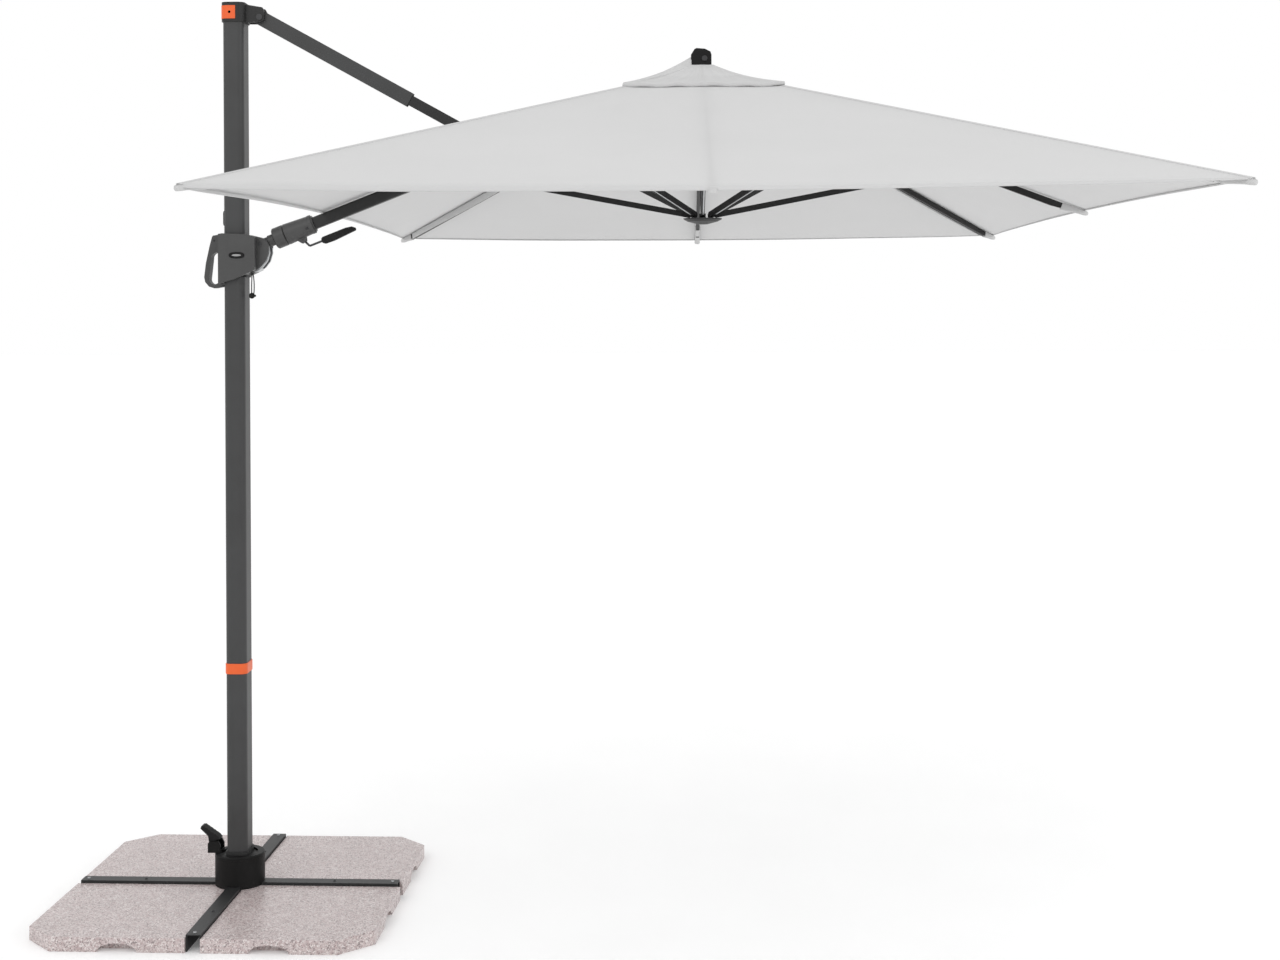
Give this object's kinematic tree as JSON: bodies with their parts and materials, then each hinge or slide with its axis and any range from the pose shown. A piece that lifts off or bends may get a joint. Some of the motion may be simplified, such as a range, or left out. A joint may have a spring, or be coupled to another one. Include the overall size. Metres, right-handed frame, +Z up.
{
  "type": "cantilever parasol",
  "caption": "Cantilever garden parasol: slab-weighted cross foot, swivelling mast, sliding crank-free handle, folding arm and strut, rectangular ribbed canopy.",
  "frame": {"origin": "on the mast's swivel axis at ground level, under the middle of the cross foot", "axes": "+Z up the mast; +X from the mast towards the canopy; +Y to the back of the canopy, seen from the handle's near side"},
  "size_m": [2.9396, 3.08, 2.592],
  "materials": {
    "frame_coat": "satin powder coat",
    "frame_light": "satin powder coat",
    "granite": "speckled, fine flamed finish",
    "black_plastic": "moulded, fine grain",
    "grey_plastic": "moulded, satin",
    "orange_plastic": "gloss",
    "bright_metal": "satin",
    "steel": "brushed",
    "cloth": "plain weave",
    "cord": "braided"
  },
  "bodies": {
    "base": {"cross_beam_x": "frame_coat", "cross_beam_front": "frame_coat", "cross_beam_back": "frame_coat", "slab_front_left": "granite", "slab_front_right": "granite", "slab_back_left": "granite", "slab_back_right": "granite", "mount_plate": "frame_coat", "base_sleeve": "black_plastic", "pedal_bracket": "black_plastic"},
    "pedal": {"foot_pedal": "black_plastic"},
    "mast": {"mast_foot": "frame_coat", "swivel_bush": "black_plastic", "mast_lower": "frame_coat", "mast_upper": "frame_coat", "joint_band": "orange_plastic", "top_bracket": "black_plastic", "top_clip": "orange_plastic", "strut_pin": "steel"},
    "strut": {"strut_tube": "frame_coat", "strut_fork": "frame_coat", "fork_pin": "steel"},
    "arm_carrier": {"arm_collar": "black_plastic", "knuckle": "grey_plastic"},
    "slider": {"slider_frame": "bright_metal", "cover_front": "grey_plastic", "cover_back": "grey_plastic", "guide_liner": "black_plastic", "hinge_pin": "steel"},
    "release_trigger": {"release_trigger": "black_plastic"},
    "safety_pin": {"safety_pin": "black_plastic", "lanyard": "cord"},
    "arm": {"arm_tube": "frame_coat", "arm_bush": "black_plastic", "barrel_front": "grey_plastic", "arm_end": "black_plastic"},
    "tilt_lever": {"tilt_lever": "steel", "tilt_grip": "black_plastic"},
    "crown": {"crown_hub": "grey_plastic", "crown_pin": "steel", "crown_cap": "black_plastic", "cap_bolt": "steel", "canopy": "cloth", "vent_cap": "cloth"},
    "rib_side": {"rib_side": "frame_coat"},
    "stretcher_side": {"stretcher_side": "frame_coat"},
    "rib_back_right": {"rib_back_right": "frame_coat"},
    "stretcher_back_right": {"stretcher_back_right": "frame_coat"},
    "rib_back": {"rib_back": "frame_coat"},
    "stretcher_back": {"stretcher_back": "frame_coat"},
    "lower_hub": {"lower_hub": "black_plastic"},
    "rib_back_left": {"rib_back_left": "frame_coat"},
    "stretcher_back_left": {"stretcher_back_left": "frame_coat"},
    "rib_front_left": {"rib_front_left": "frame_coat"},
    "stretcher_front_left": {"stretcher_front_left": "frame_coat"},
    "rib_front": {"rib_front": "frame_coat"},
    "stretcher_front": {"stretcher_front": "frame_coat"},
    "rib_front_right": {"rib_front_right": "frame_coat"},
    "stretcher_front_right": {"stretcher_front_right": "frame_coat"},
    "stretcher_arm": {"stretcher_arm": "frame_coat"}
  },
  "joints": [
    {"name": "pedal_press", "type": "hinge", "parent": "base", "child": "pedal", "pos_m": [-0.07696, 0.00235, 0.154], "axis": [-0.0305, -0.9995, 0], "range_deg": [0, 12], "stiffness_Nm_per_rad": 4, "springref_deg": -8.59},
    {"name": "mast_swivel", "type": "hinge", "parent": "base", "child": "mast", "pos_m": [0, 0, 0.108], "axis": [0, 0, 1], "continuous": true},
    {"name": "fold", "type": "hinge", "parent": "mast", "child": "strut", "pos_m": [0.074, 0, 2.551], "axis": [0, 1, 0], "range_deg": [0, 57.9], "deforming": ["canopy", "vent_cap"]},
    {"name": "strut_to_arm", "type": "hinge", "parent": "strut", "child": "arm_carrier", "pos_m": [0.6633, 0, 2.223], "axis": [0, 1, 0], "range_deg": [-115.8, 0]},
    {"name": "slider_hinge", "type": "hinge", "parent": "arm_carrier", "child": "slider", "pos_m": [0.074, 0, 1.895], "axis": [0, 1, 0], "range_deg": [0, 57.9]},
    {"name": "trigger_squeeze", "type": "hinge", "parent": "slider", "child": "release_trigger", "pos_m": [-0.062, 0, 1.905], "axis": [0, -1, 0], "range_deg": [0, 3], "stiffness_Nm_per_rad": 1.2, "springref_deg": -5.73},
    {"name": "safety_pin_swing", "type": "hinge", "parent": "slider", "child": "safety_pin", "pos_m": [0.052, -0.034, 1.813], "axis": [0, 1, 0], "range_deg": [-25, 10]},
    {"name": "arm_roll", "type": "hinge", "parent": "arm_carrier", "child": "arm", "pos_m": [0.074, 0, 1.895], "axis": [0.9311, 0, 0.3647], "range_deg": [-20, 20]},
    {"name": "tilt_lever_pull", "type": "hinge", "parent": "arm", "child": "tilt_lever", "pos_m": [0.19405, 0, 1.90658], "axis": [0, -1, 0], "range_deg": [0, 10], "stiffness_Nm_per_rad": 2.5, "springref_deg": -11.46},
    {"name": "crown_hinge", "type": "hinge", "parent": "arm", "child": "crown", "pos_m": [1.353, 0, 2.396], "axis": [0, 1, 0], "range_deg": [0, 57.9]},
    {"name": "rib_side_fold", "type": "hinge", "parent": "crown", "child": "rib_side", "pos_m": [1.395, 0, 2.366], "axis": [0, 1, 0], "range_deg": [0, 67.9]},
    {"name": "stretcher_side_hinge", "type": "hinge", "parent": "rib_side", "child": "stretcher_side", "pos_m": [2.04714, 0, 2.09725], "axis": [0, 1, 0], "range_deg": [-147.27, 0]},
    {"name": "rib_back_right_fold", "type": "hinge", "parent": "crown", "child": "rib_back_right", "pos_m": [1.37741, 0.03418, 2.366], "axis": [-0.8137, 0.5812, 0], "range_deg": [0, 75.94]},
    {"name": "stretcher_back_right_hinge", "type": "hinge", "parent": "rib_back_right", "child": "stretcher_back_right", "pos_m": [1.7583, 0.56741, 2.19737], "axis": [-0.8137, 0.5812, 0], "range_deg": [-147.28, 0]},
    {"name": "rib_back_fold", "type": "hinge", "parent": "crown", "child": "rib_back", "pos_m": [1.353, 0.042, 2.366], "axis": [-1, 0, 0], "range_deg": [0, 72.72]},
    {"name": "stretcher_back_hinge", "type": "hinge", "parent": "rib_back", "child": "stretcher_back", "pos_m": [1.353, 0.69773, 2.1578], "axis": [-1, 0, 0], "range_deg": [-147.2, 0]},
    {"name": "lower_hub_hinge", "type": "hinge", "parent": "stretcher_back", "child": "lower_hub", "pos_m": [1.353, 0.04, 1.973], "axis": [-1, 0, 0], "range_deg": [0, 74.48]},
    {"name": "rib_back_left_fold", "type": "hinge", "parent": "crown", "child": "rib_back_left", "pos_m": [1.32859, 0.03418, 2.366], "axis": [-0.8137, -0.5812, 0], "range_deg": [0, 75.94]},
    {"name": "stretcher_back_left_hinge", "type": "hinge", "parent": "rib_back_left", "child": "stretcher_back_left", "pos_m": [0.9477, 0.56741, 2.19737], "axis": [-0.8137, -0.5812, 0], "range_deg": [-147.28, 0]},
    {"name": "rib_front_left_fold", "type": "hinge", "parent": "crown", "child": "rib_front_left", "pos_m": [1.32859, -0.03418, 2.366], "axis": [0.8137, -0.5812, 0], "range_deg": [0, 75.94]},
    {"name": "stretcher_front_left_hinge", "type": "hinge", "parent": "rib_front_left", "child": "stretcher_front_left", "pos_m": [0.9477, -0.56741, 2.19737], "axis": [0.8137, -0.5812, 0], "range_deg": [-147.28, 0]},
    {"name": "rib_front_fold", "type": "hinge", "parent": "crown", "child": "rib_front", "pos_m": [1.353, -0.042, 2.366], "axis": [1, 0, 0], "range_deg": [0, 72.72]},
    {"name": "stretcher_front_hinge", "type": "hinge", "parent": "rib_front", "child": "stretcher_front", "pos_m": [1.353, -0.69773, 2.1578], "axis": [1, 0, 0], "range_deg": [-147.2, 0]},
    {"name": "rib_front_right_fold", "type": "hinge", "parent": "crown", "child": "rib_front_right", "pos_m": [1.37741, -0.03418, 2.366], "axis": [0.8137, 0.5812, 0], "range_deg": [0, 75.94]},
    {"name": "stretcher_front_right_hinge", "type": "hinge", "parent": "rib_front_right", "child": "stretcher_front_right", "pos_m": [1.7583, -0.56741, 2.19737], "axis": [0.8137, 0.5812, 0], "range_deg": [-147.28, 0]},
    {"name": "stretcher_arm_hinge", "type": "hinge", "parent": "arm", "child": "stretcher_arm", "pos_m": [0.66372, 0, 2.09378], "axis": [0, -1, 0], "range_deg": [-131.26, 0]}
  ],
  "couplings": [
    {"joint": "strut_to_arm", "follows": "fold", "ratio": -2},
    {"joint": "slider_hinge", "follows": "fold", "ratio": 1},
    {"joint": "crown_hinge", "follows": "fold", "ratio": 1},
    {"joint": "rib_side_fold", "follows": "fold", "ratio": 1.1725},
    {"joint": "stretcher_side_hinge", "follows": "fold", "ratio": -2.5435},
    {"joint": "rib_back_right_fold", "follows": "fold", "ratio": 1.3114},
    {"joint": "stretcher_back_right_hinge", "follows": "fold", "ratio": -2.5436},
    {"joint": "rib_back_fold", "follows": "fold", "ratio": 1.2559},
    {"joint": "stretcher_back_hinge", "follows": "fold", "ratio": -2.5422},
    {"joint": "lower_hub_hinge", "follows": "fold", "ratio": 1.2862},
    {"joint": "rib_back_left_fold", "follows": "fold", "ratio": 1.3114},
    {"joint": "stretcher_back_left_hinge", "follows": "fold", "ratio": -2.5436},
    {"joint": "rib_front_left_fold", "follows": "fold", "ratio": 1.3114},
    {"joint": "stretcher_front_left_hinge", "follows": "fold", "ratio": -2.5436},
    {"joint": "rib_front_fold", "follows": "fold", "ratio": 1.2559},
    {"joint": "stretcher_front_hinge", "follows": "fold", "ratio": -2.5422},
    {"joint": "rib_front_right_fold", "follows": "fold", "ratio": 1.3114},
    {"joint": "stretcher_front_right_hinge", "follows": "fold", "ratio": -2.5436},
    {"joint": "stretcher_arm_hinge", "follows": "fold", "ratio": -2.2669}
  ]
}
